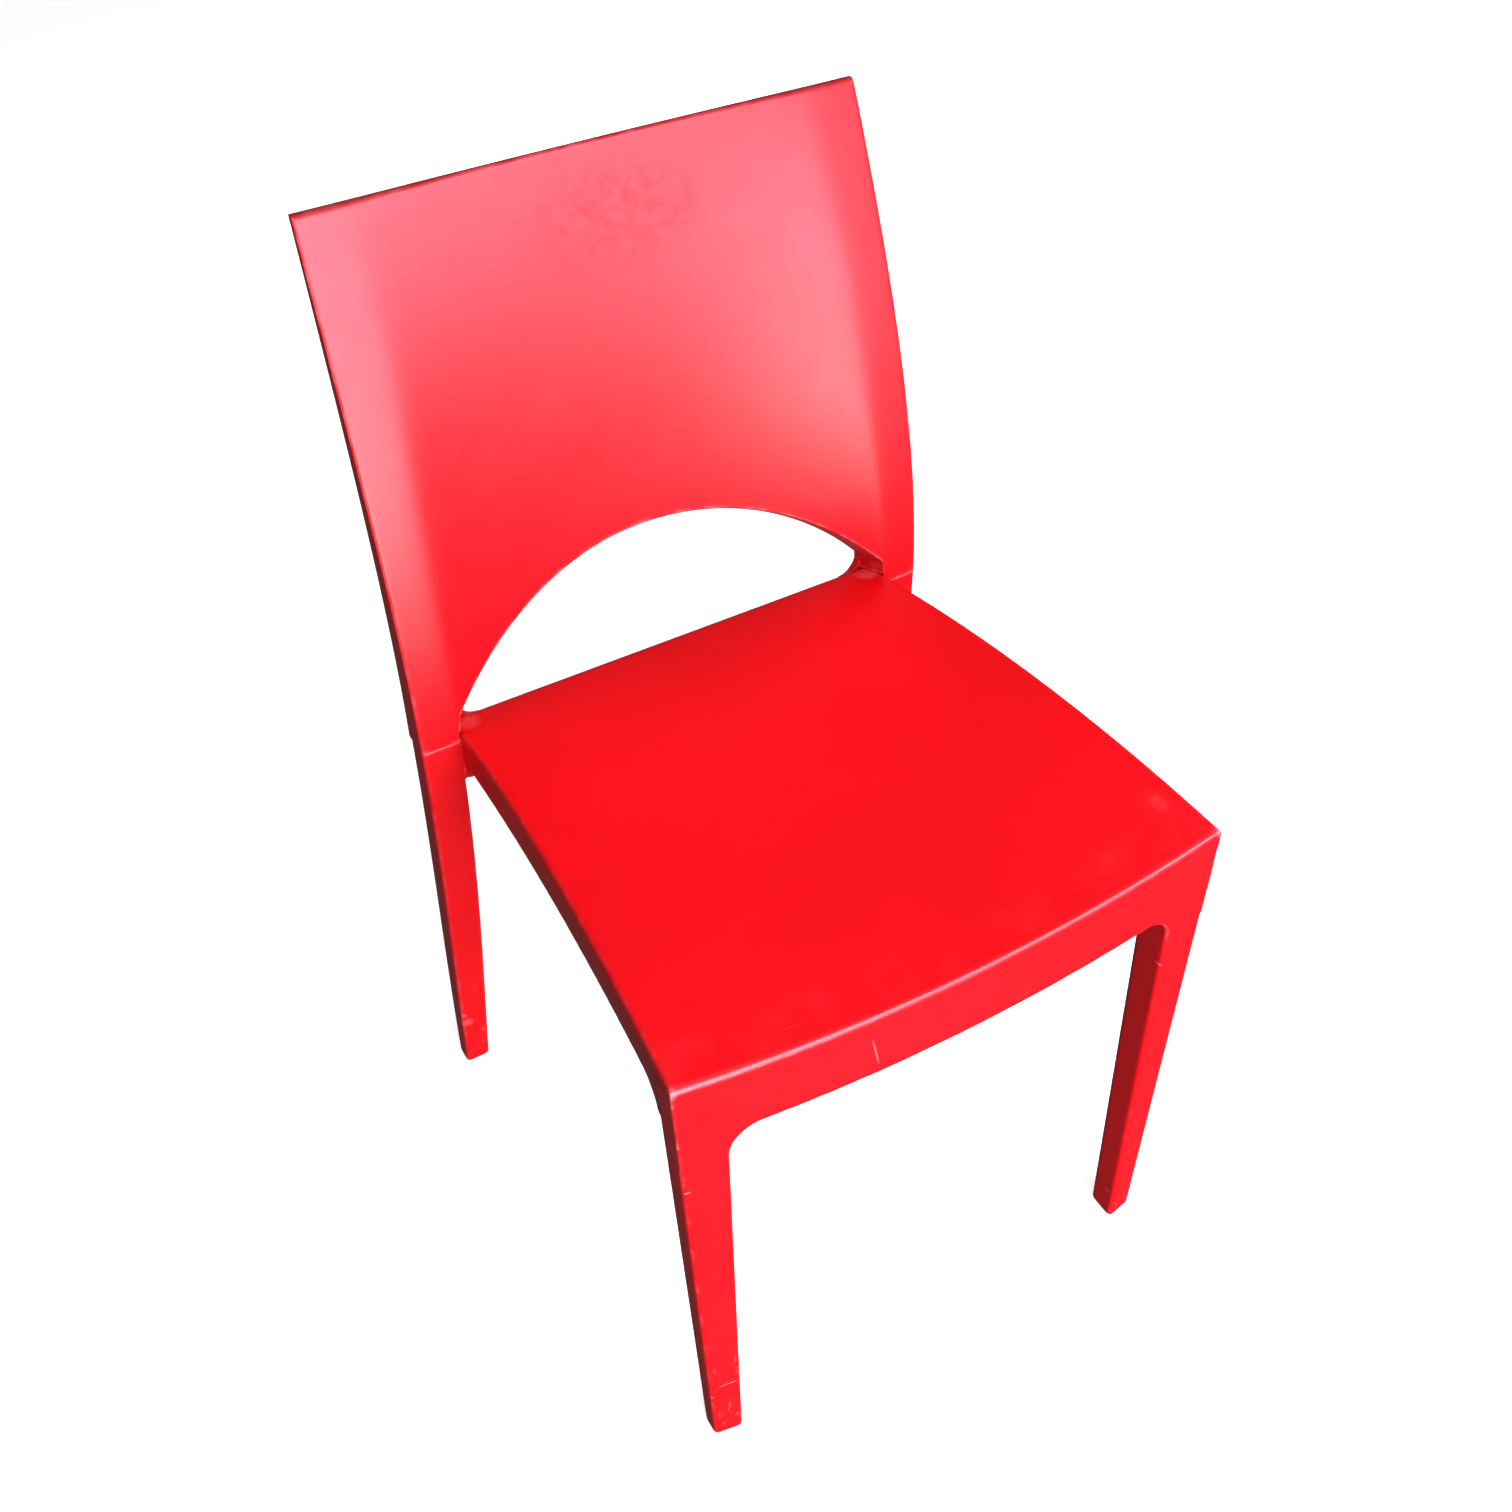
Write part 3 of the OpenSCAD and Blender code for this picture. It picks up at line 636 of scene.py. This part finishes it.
def arch_heels(chair):
    """The rounded heels of the arch's rim, which reach lower and further behind the seat."""
    heels = Skin()
    sill, rear_sill = sills(chair)
    rim_x, inside, tip = chair.inner_x - chair.arch_draft, 6 * MM, 0.05 * MM
    low_r, high_r, reach, rise = MM, 5 * MM, 2.2 * chair.RIM_R, 2.7 * chair.RIM_R
    rear = float(chair.face_y(rim_x, rear_sill) + chair.back_d(rim_x, rear_sill))
    share = (chair.rear_y - chair.seam_y) / (rear - chair.seam_y)

    def section(t, reach, rise, low):
        x, y = mix(chair.inner_x, rim_x, t), mix(chair.seam_y, rear, t)
        z = mix(sill, rear_sill, t) - low
        arc = [(x - reach * (1 - cos(a)), z + rise * (1 - sin(a))) for a in quarter(12)]
        base = [(x + inside, y, z)] + [(q, y, z) for q, h in arc]
        return base + [(q, y, h + tip) for q, h in arc[::-1]] + [(x + inside, y, z + rise + tip)]

    over_seat = [section(t, mix(low_r, high_r, t), mix(low_r, high_r, t), 0.0)
                 for t in mix(0.04, share - 0.02, steps(8))]
    behind = [section(t, reach, rise, chair.RIM_R)
              for t in mix(share + 0.02, 0.985, steps(4))]
    heels.loft(np.array(over_seat))
    heels.loft(np.array(behind))
    return heels.mirrored()


def spigots(chair):
    pegs = Skin()
    pegs.peg((chair.spigot_x, chair.spigot_y, chair.seam_h - chair.spigot_l), (0, 0, 1),
             chair.spigot_d / 2, chair.spigot_l + chair.spigot_d / 2)
    return pegs.mirrored()


def insert_bores(chair):
    bores = Skin()
    rear = chair.spigot_y + chair.spigot_d / 2
    bores.peg((chair.spigot_x, rear + MM, chair.lock_z), (0, -1, 0),
              chair.insert_d / 2 + chair.fit, MM + chair.INSERT_SINK + chair.insert_l + chair.fit)
    return bores.mirrored()


# ---- Materials ----
class Wire:
    """A socket that can be used in sums. Each operator adds a Math node."""

    def __init__(self, maker, socket):
        self.maker, self.socket = maker, socket

    def _sum(self, operation, *values, clamp=False):
        return self.maker.node("ShaderNodeMath", {"operation": operation, "use_clamp": clamp},
                               dict(enumerate(values)))

    def __add__(self, other):
        return self._sum("ADD", self, other)

    def __radd__(self, other):
        return self._sum("ADD", other, self)

    def __sub__(self, other):
        return self._sum("SUBTRACT", self, other)

    def __rsub__(self, other):
        return self._sum("SUBTRACT", other, self)

    def __mul__(self, other):
        return self._sum("MULTIPLY", self, other)

    def __rmul__(self, other):
        return self._sum("MULTIPLY", other, self)

    def __truediv__(self, other):
        return self._sum("DIVIDE", self, other)

    def size(self):
        return self._sum("ABSOLUTE", self)

    def within(self):
        return self._sum("ADD", self, 0.0, clamp=True)


class NodeMaker:
    """Makes the nodes of one tree."""

    def put(self, socket, value):
        """Sets a socket's value, or links the wire or the list of wires that it is given."""
        for one in value if isinstance(value, list) else [value]:
            if isinstance(one, Wire):
                self.tree.links.new(one.socket, socket)
            else:
                socket.default_value = one

    def node(self, kind, settings=None, inputs=None, output=0):
        """Any node: its settings are set first, then the values or links of its sockets."""
        node = self.tree.nodes.new(kind)
        for name, value in (settings or {}).items():
            setattr(node, name, value)
        for name, value in (inputs or {}).items():
            self.put(node.inputs[name], value)
        return Wire(self, node.outputs[output])


class Shader(NodeMaker):
    """One material's node tree."""

    def __init__(self, name):
        self.material = bpy.data.materials.new(name)
        self.material.use_nodes = True
        self.tree = self.material.node_tree
        self.tree.nodes.clear()
        self.surface = self.tree.nodes.new("ShaderNodeBsdfPrincipled")
        out = self.tree.nodes.new("ShaderNodeOutputMaterial")
        self.tree.links.new(self.surface.outputs["BSDF"], out.inputs["Surface"])

    @cached_property
    def place(self):
        return self.node("ShaderNodeTexCoord", output="Object")

    @cached_property
    def axes(self):
        """The object's own x, y and z."""
        split = self.node("ShaderNodeSeparateXYZ", inputs={0: self.place}).socket.node
        return [Wire(self, out) for out in split.outputs]

    def stretched(self, scale, turn=(0.0, 0.0, 0.0)):
        return self.node("ShaderNodeMapping", inputs={"Vector": self.place, "Scale": scale,
                                                      "Rotation": turn})

    def noise(self, scale, detail=2.0, rough=0.5, vector=None, warp=0.0):
        return self.node("ShaderNodeTexNoise", inputs={
            "Vector": vector or self.place, "Scale": scale, "Detail": detail,
            "Roughness": rough, "Distortion": warp}, output="Fac")

    def band(self, value, low, high):
        """Rises smoothly from 0 at low to 1 at high."""
        return self.node("ShaderNodeMapRange", {"interpolation_type": "SMOOTHSTEP"},
                         {"Value": value, "From Min": low, "From Max": high})

    def blend(self, factor, first, second):
        """Goes from the first colour to the second. Sockets 6 and 7 are the colours."""
        return self.node("ShaderNodeMix", {"data_type": "RGBA"},
                         {0: factor, 6: first, 7: second}, output=2)

    def bump(self, height, strength, distance):
        return self.node("ShaderNodeBump", inputs={"Height": height, "Strength": strength,
                                                   "Distance": distance})

    def spot(self, place, size, both_sides=False):
        """Fades from 1 at a place to 0 at size away along each axis, both in millimetres."""
        x, y, z = self.axes
        far = 0.0
        for axis, middle, reach in zip((x.size() if both_sides else x, y, z), place, size):
            step = (axis - middle * MM) / (reach * MM)
            far = step * step + far
        return 1 - self.band(far, 0.1, 1.0)

    def finish(self, **sockets):
        for name, value in sockets.items():
            self.put(self.surface.inputs[name.replace("_", " ")], value)
        return self.material


def rgba(tone, gain=1.0):
    return (*[c * gain for c in tone], 1.0)


# Handling marks and the painted corner highlight, in millimetres: where each one is, and how far
# it reaches along each axis
CORNER_GLINT = (220, -243, 457), (5, 5, 6)
REAR_SMEAR = (184, 163, 441), (12, 15, 8)
SEAT_SCUFF = (198, -201, 462), (7, 11, 8)
SEAT_DULL = (198, -201, 462), (16, 20, 8)
REAR_FOOT_SCUFF = (-226, 192, 65), (8, 12, 7)
LEG_TICKS = (-215, -245, 348), (183, -245, 339), (184, -240, 33)
TICK_REACH = (3, 4, 1.2)
LEG_SCRATCH = (-195, -247, 76), (10, 6, 0.9)
APRON_SCRATCH = (-75, -254, 415), (14, 20, 16)
SCRATCH_X, SCRATCH_Z, SCRATCH_SLANT = -78, 429, 0.2
POST_SMEAR = (190, 158, 446), (8, 12, 8)
BACK_SMUDGE = (8, 240, 776), (85, 60, 46)


def front_edge_marks(s, ahead, above, r):
    """The painted highlight along the seat's front edge, and the dust on the apron under it."""
    # Painted highlight: a thin pale line along the rounded front edge
    edge_highlight = 1 - s.band((ahead + above).size(), 0.5 * MM, 1.5 * MM)
    edge_highlight = edge_highlight * s.band(above - ahead, r, 1.3 * r)
    edge_highlight = edge_highlight * (0.10 + s.noise(60.0, 3.0) * 0.30)
    dust = s.band(ahead, 0.0, 6 * MM) * (1 - s.band(ahead, 22 * MM, 42 * MM))
    dust = dust * s.band(above, -r, 0.0) * s.band(s.noise(26.0, 5.0, 0.65), 0.40, 0.80)
    return edge_highlight + dust * 0.02


def seat_marks(s, chair):
    """Where the seat frame is pale from marks and painted highlights, where painted shade darkens
    its rear edge, and where its gloss is dull.
    """
    x, y, z = s.axes
    broken = s.band(s.noise(420.0, 5.0, 0.75), 0.30, 0.70)
    r, u = chair.seat_edge_r, x / (chair.seat_front_w / 2)
    middle = 1 - u * u
    ahead = y - (chair.front_y + r) + middle * chair.front_bow
    above = z - (chair.seat_h - r) + middle * chair.front_dip
    pale = front_edge_marks(s, ahead, above, r)
    # Painted highlight on both front corners of the seat
    pale = pale + s.spot(*CORNER_GLINT, both_sides=True) * 0.16
    pale = pale + s.spot(*REAR_SMEAR, both_sides=True) * broken * 0.22
    pale = pale + s.spot(*SEAT_SCUFF) * broken * 0.07
    pale = pale + s.spot(*REAR_FOOT_SCUFF) * broken * 0.3
    for place in LEG_TICKS:
        pale = pale + s.spot(place, TICK_REACH) * 0.4
    pale = pale + s.spot(*LEG_SCRATCH) * 0.35
    scratch = (x - SCRATCH_X * MM + (z - SCRATCH_Z * MM) * SCRATCH_SLANT).size()
    scratch = 1 - s.band(scratch, 0.3 * MM, 0.9 * MM)
    pale = pale + scratch * s.spot(*APRON_SCRATCH) * 0.25
    # Painted highlight: a pale line on the frame's side of the seam, under the posts
    seam = s.band(z, chair.seam_h - 1.2 * MM, chair.seam_h - 0.5 * MM)
    seam = seam * s.band(y, chair.seam_y - 3 * MM, chair.seam_y)
    pale = pale + seam * s.band(x.size(), chair.inner_x, chair.inner_x + MM) * 0.12
    # Painted shade: darker along the seat's rear edge, where it runs under the back
    painted_shade = s.band(y, chair.rear_y - 9 * MM, chair.rear_y - 2 * MM) * (0.35 + broken * 0.35)
    painted_shade = painted_shade * s.band(z, chair.seam_h - 3 * MM, chair.seam_h)
    return pale, painted_shade, s.spot(*SEAT_DULL)


def back_marks(s, chair):
    """Where the back is pale from smears and a painted highlight along the seam, where painted
    shade darkens its top edge, and where its gloss is dull.
    """
    z = s.axes[2]
    broken = s.band(s.noise(150.0, 6.0, 0.75), 0.30, 0.75)
    # Painted highlight: a pale line along the seam at the foot of the back
    seam = 1 - s.band(z, chair.seam_h + 0.3 * MM, chair.seam_h + 1.1 * MM)
    pale = seam * (0.05 + broken * 0.22)
    pale = pale + s.spot(*POST_SMEAR, both_sides=True) * broken * 0.25
    dull = s.spot(*BACK_SMUDGE) * s.band(s.noise(120.0, 8.0, 0.75), 0.40, 0.66)
    # Painted shade: the back's top edge is darkened
    painted_shade = s.band(z, chair.overall_h - 2.6 * MM, chair.overall_h - 1.2 * MM) * 0.75
    return pale, painted_shade, dull


def moulded_plastic(name, finish, chair, marks):
    """Satin moulded plastic with a fine grain, handling marks, painted highlights and painted
    shade, and pale worn edges with a painted highlight on them.
    """
    s = Shader(name)
    edge_rub_and_highlight = s.node("ShaderNodeAttribute", {"attribute_name": "edge_wear"}, output="Fac")
    cloud = s.noise(5.0, 3.0, 0.55)
    patch = s.noise(38.0, 4.0, 0.6, warp=0.6)
    grain = s.noise(1500.0, 2.0, 0.6)
    # Long thin scratches in two directions, broken up by patches
    lines_a = s.noise(1.0, 2.0, 0.5, s.stretched((900.0, 900.0, 28.0), turn=(0.3, 0.2, 0.4)))
    lines_b = s.noise(1.0, 2.0, 0.5, s.stretched((24.0, 700.0, 800.0), turn=(0.1, 0.5, -0.6)))
    scratch = s.band(lines_a, 0.70, 0.76) * s.band(patch, 0.52, 0.66)
    scratch = scratch + s.band(lines_b, 0.70, 0.77) * s.band(cloud, 0.50, 0.62)
    low = 1 - s.band(s.axes[2], 20 * MM, 200 * MM)
    scuff = s.band(s.noise(160.0, 5.0, 0.7, s.stretched((1.0, 1.0, 0.35))), 0.60, 0.74) * low
    # Pale where edges bend sharply: partly rubbing, partly a painted highlight where the edge
    # would catch the light
    rubbed_and_highlight = (edge_rub_and_highlight * s.band(s.noise(55.0, 5.0, 0.7), 0.35, 0.75)).within()
    marked, painted_shade, dull = marks(s, chair)
    # Pale from scratches, scuffs and handling marks, and painted highlights on the front edge,
    # the corners, the seam and convex edges
    pale = (scratch * 0.09 + scuff * 0.40 + rubbed_and_highlight * 0.30 + marked).within()
    tone = s.blend(s.band(cloud, 0.30, 0.72),
                   rgba(finish.plastic, 0.94), rgba(finish.plastic, 1.05))
    # Painted shade on the back's top edge and on the seat's rear edge
    tone = s.blend(painted_shade, tone, rgba(finish.grime))
    tone = s.blend(pale, tone, rgba(finish.bloom))
    rough = (0.27 + cloud * 0.12 + patch * 0.10 + pale * 0.25 + dull * 0.18).within()
    height = grain * 0.6 + s.noise(420.0, 2.0) * 0.4 - scratch * 0.5
    return s.finish(Base_Color=tone, Roughness=rough, Normal=s.bump(height, 0.35, 0.03 * MM),
                    IOR=1.49)


def glide_plastic(name, finish):
    """Dull plastic with dust trodden into it."""
    s = Shader(name)
    dust = s.band(s.noise(320.0, 4.0, 0.7), 0.48, 0.70)
    tone = s.blend(dust, rgba(finish.glide), rgba(finish.glide, 3.0))
    height = s.noise(1200.0, 2.0)
    return s.finish(Base_Color=tone, Roughness=0.55 + dust * 0.2,
                    Normal=s.bump(height, 0.4, 0.05 * MM))


def zinc_steel(name, finish):
    """Zinc-plated steel with turning marks along y and dull spots."""
    s = Shader(name)
    turned = s.noise(900.0, 2.0, 0.5, s.stretched((1.0, 0.05, 1.0)))
    spots = s.band(s.noise(260.0, 4.0), 0.50, 0.72)
    tone = s.blend(spots, rgba(finish.steel), rgba(finish.steel, 0.72))
    return s.finish(Base_Color=tone, Metallic=1.0, Roughness=0.26 + turned * 0.2 + spots * 0.15,
                    Normal=s.bump(turned, 0.2, 0.02 * MM))


def turned_brass(name, finish):
    """Brass with fine rings across y from the lathe."""
    s = Shader(name)
    ring = s.noise(1.0, 2.0, 0.5, s.stretched((60.0, 2600.0, 60.0)))
    tone = s.blend(s.band(ring, 0.4, 0.6), rgba(finish.brass), rgba(finish.brass, 0.8))
    return s.finish(Base_Color=tone, Metallic=1.0, Roughness=0.28 + ring * 0.2,
                    Normal=s.bump(ring, 0.5, 0.04 * MM))


FLOOR_GLOW = 0.74


def floor_paint(name):
    """Matt white paint that glows a little, so it stays plain under the lamps."""
    s = Shader(name)
    tone = s.blend(s.noise(0.8, 2.0), (0.90, 0.90, 0.90, 1.0), (0.92, 0.92, 0.92, 1.0))
    return s.finish(Base_Color=tone, Roughness=0.9 + s.noise(2.0) * 0.05,
                    Emission_Color=(1.0, 1.0, 1.0, 1.0), Emission_Strength=FLOOR_GLOW)


def dress(thing, material):
    thing.data.materials.clear()
    thing.data.materials.append(material)


# ---- Pieces ----
class CHAIR_OT_seat_frame(bpy.types.Operator):
    """The seat, its apron and rails, and the four legs, in one moulding"""

    bl_idname = "chair.seat_frame"
    bl_label = "Seat Frame"

    def execute(self, context):
        chair, finish = Shape(context.scene.chair_sizes), context.scene.chair_finish
        legs, skin = Skin(), Skin()
        front_leg(chair, legs)
        rear_leg(chair, legs)
        legs.mirrored()
        seat_shell(chair, skin)
        seat_walls(chair, skin)
        skin.take(np.concatenate(legs.points), legs.faces)
        seat = one_skin(skin, "seat_moulding", chair.skin_step * (1.0))
        for holes in frame_holes(chair):
            combine(seat, holes, "DIFFERENCE")
        smooth_faces(seat)
        dress(seat, moulded_plastic("seat_red_plastic", finish, chair, seat_marks))
        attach(seat, BODY)
        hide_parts("seat_frame")
        return {"FINISHED"}


class CHAIR_OT_back_panel(bpy.types.Operator):
    """The back with its two posts and the arched opening, in one moulding"""

    bl_idname = "chair.back_panel"
    bl_label = "Back Panel"

    def execute(self, context):
        chair, finish = Shape(context.scene.chair_sizes), context.scene.chair_finish
        skin = Skin()
        back_shell(chair, skin)
        back = skin.object("back_moulding")
        combine(back, arch_heels(chair), "UNION")
        combine(back, spigots(chair), "UNION")
        combine(back, insert_bores(chair), "DIFFERENCE")
        smooth_faces(back)
        dress(back, moulded_plastic("back_red_plastic", finish, chair, back_marks))
        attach(back, BODY)
        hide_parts("back_panel")
        return {"FINISHED"}


class GeometryTree(NodeMaker):
    """A Geometry Nodes tree with named inputs, which ends in real geometry with its material."""

    def __init__(self, name):
        self.tree = bpy.data.node_groups.new(name, "GeometryNodeTree")
        self.face = self.tree.interface
        self.face.new_socket("Geometry", in_out="INPUT", socket_type="NodeSocketGeometry")
        self.face.new_socket("Geometry", in_out="OUTPUT", socket_type="NodeSocketGeometry")
        self.values = {}
        self.entry = self.tree.nodes.new("NodeGroupInput")
        self.points = Wire(self, self.entry.outputs[0])

    def size(self, name, value):
        """A named input with its value, as a wire inside the tree."""
        socket = self.face.new_socket(name, in_out="INPUT", socket_type="NodeSocketFloat")
        socket.default_value = value
        self.values[socket.identifier] = value
        return Wire(self, self.entry.outputs[socket.identifier])

    def finish(self, geometry, material):
        real = self.node("GeometryNodeRealizeInstances", inputs={"Geometry": geometry})
        made = self.node("GeometryNodeSetMaterial",
                         inputs={"Geometry": real, "Material": material})
        self.put(self.tree.nodes.new("NodeGroupOutput").inputs[0], made)

    def apply(self, thing, name):
        modifier = thing.modifiers.new(name, "NODES")
        modifier.node_group = self.tree
        for identifier, value in self.values.items():
            modifier[identifier] = value
        return plain_mesh(thing, name)


# A barb's depth, its length as a share of the stem's, and where the two barbs start
BARB_DEPTH, BARB_SHARE, BARB_STARTS = 0.4 * MM, 0.3, (0.25, 0.62)


def glide_tree(chair, material):
    """A turned glide on every point: a bevelled disc under a stem with two barbs."""
    tree = GeometryTree("glides_on_feet")
    disc_r = tree.size("Disc Radius", chair.glide_d / 2)
    disc_h = tree.size("Disc Height", chair.glide_h)
    bevel = tree.size("Bevel", MM)
    stem_r = tree.size("Stem Radius", chair.stem_d / 2)
    stem_l = tree.size("Stem Length", chair.stem_l)

    def cone(low_r, high_r, height, z):
        made = tree.node("GeometryNodeMeshCone", inputs={
            "Vertices": 48, "Radius Bottom": low_r, "Radius Top": high_r, "Depth": height})
        up = tree.node("ShaderNodeCombineXYZ", inputs={"Z": z})
        return tree.node("GeometryNodeTransform", inputs={"Geometry": made, "Translation": up})

    barb_r, barb_h = stem_r - BARB_DEPTH, stem_l * BARB_SHARE
    parts = [cone(disc_r - bevel, disc_r, bevel, 0.0),
             cone(disc_r, disc_r, disc_h - bevel, bevel),
             cone(barb_r, barb_r, stem_l, disc_h)]
    parts += [cone(stem_r, barb_r, barb_h, disc_h + stem_l * share) for share in BARB_STARTS]
    glide = tree.node("GeometryNodeMeshBoolean", {"operation": "UNION"}, {"Mesh 2": parts})
    glides = tree.node("GeometryNodeInstanceOnPoints",
                       inputs={"Points": tree.points, "Instance": glide}, output="Instances")
    tree.finish(glides, material)
    return tree


class CHAIR_OT_foot_glides(bpy.types.Operator):
    """The four glides, pressed into the feet"""

    bl_idname = "chair.foot_glides"
    bl_label = "Foot Glides"

    def execute(self, context):
        chair = Shape(context.scene.chair_sizes)
        material = glide_plastic("glide_dull_plastic", context.scene.chair_finish)
        feet = [(side * x, y, 0.0) for x, y in (chair.front_foot(), chair.rear_foot())
                for side in (-1, 1)]
        mesh = bpy.data.meshes.new("foot_glides")
        mesh.from_pydata(feet, [], [])
        glides = bpy.data.objects.new("foot_glides", mesh)
        context.scene.collection.objects.link(glides)
        made = glide_tree(chair, material).apply(glides, "foot_glides")
        made.shade_smooth()
        made.set_sharp_from_angle(angle=CREASE)
        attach(glides, BODY)
        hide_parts(*[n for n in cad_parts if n.startswith("foot_glide")])
        return {"FINISHED"}


class CHAIR_OT_fastenings(bpy.types.Operator):
    """The lock screws behind the rear legs and the threaded inserts that they turn into"""

    bl_idname = "chair.fastenings"
    bl_label = "Screws and Inserts"

    def execute(self, context):
        finish = context.scene.chair_finish
        kinds = {
            "lock_screw": (zinc_steel("screw_zinc", finish), "screw_steel"),
            "lock_insert": (turned_brass("insert_brass", finish), "insert_brass"),
        }
        for name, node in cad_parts.items():
            for kind, (material, slot) in kinds.items():
                if name.startswith(kind):
                    dress(node, material)
        return {"FINISHED"}


CAMERA_AT = Vector((-0.4822, -0.8381, 1.3330))
CAMERA_RIGHT = Vector((0.86066, -0.50905, -0.01175))
CAMERA_DOWN = Vector((-0.35473, -0.58286, -0.73106))
LENS, SENSOR = 41.40, 36.0
SHIFT = (-0.01534, 0.00873)
SKY_GAIN = 0.085
FLOOR_REACH = 12.0
WHITE, COOL = (1.0, 1.0, 1.0), (0.74, 0.77, 1.0)
# Name, place, aim, width and height, watts, colour, and whether the chair reflects it
LAMPS = (
    ("front_softbox", (0.55, -3.1, 1.95), (0, 0.1, 0.9), (2.0, 2.7), 218.0, COOL, True),
    ("low_softbox", (-0.35, -2.5, 0.4), (-0.15, 0.1, 0.3), (1.3, 0.7), 66.0, WHITE, True),
    ("rear_softbox", (0.9, 2.6, 0.27), (0, 0, 0.5), (1.8, 0.3), 34.0, WHITE, False),
    ("top_softbox", (0.3, -1.3, 3.2), (0, 0, 0.4), (2.2, 1.8), 50.0, WHITE, False),
)


class CHAIR_OT_stage(bpy.types.Operator):
    """The floor, the lights and the camera"""

    bl_idname = "chair.stage"
    bl_label = "Stage"

    def execute(self, context):
        scene = context.scene
        scene.view_settings.view_transform = "Standard"
        scene.world = self.sky()
        floor = self.floor()
        scene.collection.objects.link(floor)
        for lamp in LAMPS:
            scene.collection.objects.link(self.lamp(*lamp))
        camera = self.camera()
        scene.collection.objects.link(camera)
        scene.camera = camera
        return {"FINISHED"}

    def sky(self):
        world = bpy.data.worlds.new("studio")
        world.use_nodes = True
        sky = world.node_tree.nodes["Background"]
        sky.inputs["Color"].default_value = (*WHITE, 1.0)
        sky.inputs["Strength"].default_value = SKY_GAIN
        return world

    def floor(self):
        r = FLOOR_REACH
        mesh = bpy.data.meshes.new("floor")
        mesh.from_pydata([(-r, -r, 0), (r, -r, 0), (r, r, 0), (-r, r, 0)], [], [(0, 1, 2, 3)])
        floor = bpy.data.objects.new("floor", mesh)
        dress(floor, floor_paint("floor_paint"))
        floor.visible_diffuse = False
        floor.visible_glossy = False
        return floor

    def lamp(self, name, place, target, size, power, tint, reflected):
        light = bpy.data.lights.new(name, "AREA")
        light.shape, light.energy, light.color = "RECTANGLE", power, tint
        light.size, light.size_y = size
        lamp = bpy.data.objects.new(name, light)
        lamp.visible_glossy = reflected
        aim = Vector(target) - Vector(place)
        turn = aim.to_track_quat("-Z", "Y").to_matrix().to_4x4()
        lamp.matrix_world = Matrix.Translation(place) @ turn
        return lamp

    def camera(self):
        lens = bpy.data.cameras.new("camera")
        lens.lens, lens.sensor_width = LENS, SENSOR
        lens.shift_x, lens.shift_y = SHIFT
        lens.dof.use_dof = False
        camera = bpy.data.objects.new("camera", lens)
        right, up = CAMERA_RIGHT.normalized(), -CAMERA_DOWN.normalized()
        out = right.cross(up).normalized()
        turn = Matrix((right, out.cross(right), out)).transposed().to_4x4()
        camera.matrix_world = Matrix.Translation(CAMERA_AT) @ turn
        return camera


PIECES = (CHAIR_OT_seat_frame, CHAIR_OT_back_panel, CHAIR_OT_foot_glides,
          CHAIR_OT_fastenings, CHAIR_OT_stage)


class CHAIR_PT_sidebar(bpy.types.Panel):
    """Lists the chair's pieces, sizes and colours"""

    bl_idname = "CHAIR_PT_sidebar"
    bl_label = "Moulded Side Chair"
    bl_space_type = "VIEW_3D"
    bl_region_type = "UI"
    bl_category = "Chair"

    def draw(self, context):
        for piece in PIECES:
            self.layout.operator(piece.bl_idname)
        for group in (context.scene.chair_sizes, context.scene.chair_finish):
            box = self.layout.box()
            for name in group.__annotations__:
                box.prop(group, name)


CLASSES = (ChairSizes, ChairFinish, *PIECES, CHAIR_PT_sidebar)


def register():
    for cls in CLASSES:
        bpy.utils.register_class(cls)
    bpy.types.Scene.chair_sizes = PointerProperty(type=ChairSizes)
    bpy.types.Scene.chair_finish = PointerProperty(type=ChairFinish)


def unregister():
    del bpy.types.Scene.chair_sizes, bpy.types.Scene.chair_finish
    for cls in reversed(CLASSES):
        bpy.utils.unregister_class(cls)


def main():
    register()
    for piece in PIECES:
        family, name = piece.bl_idname.split(".")
        getattr(getattr(bpy.ops, family), name)()


if __name__ == "__main__":
    main()
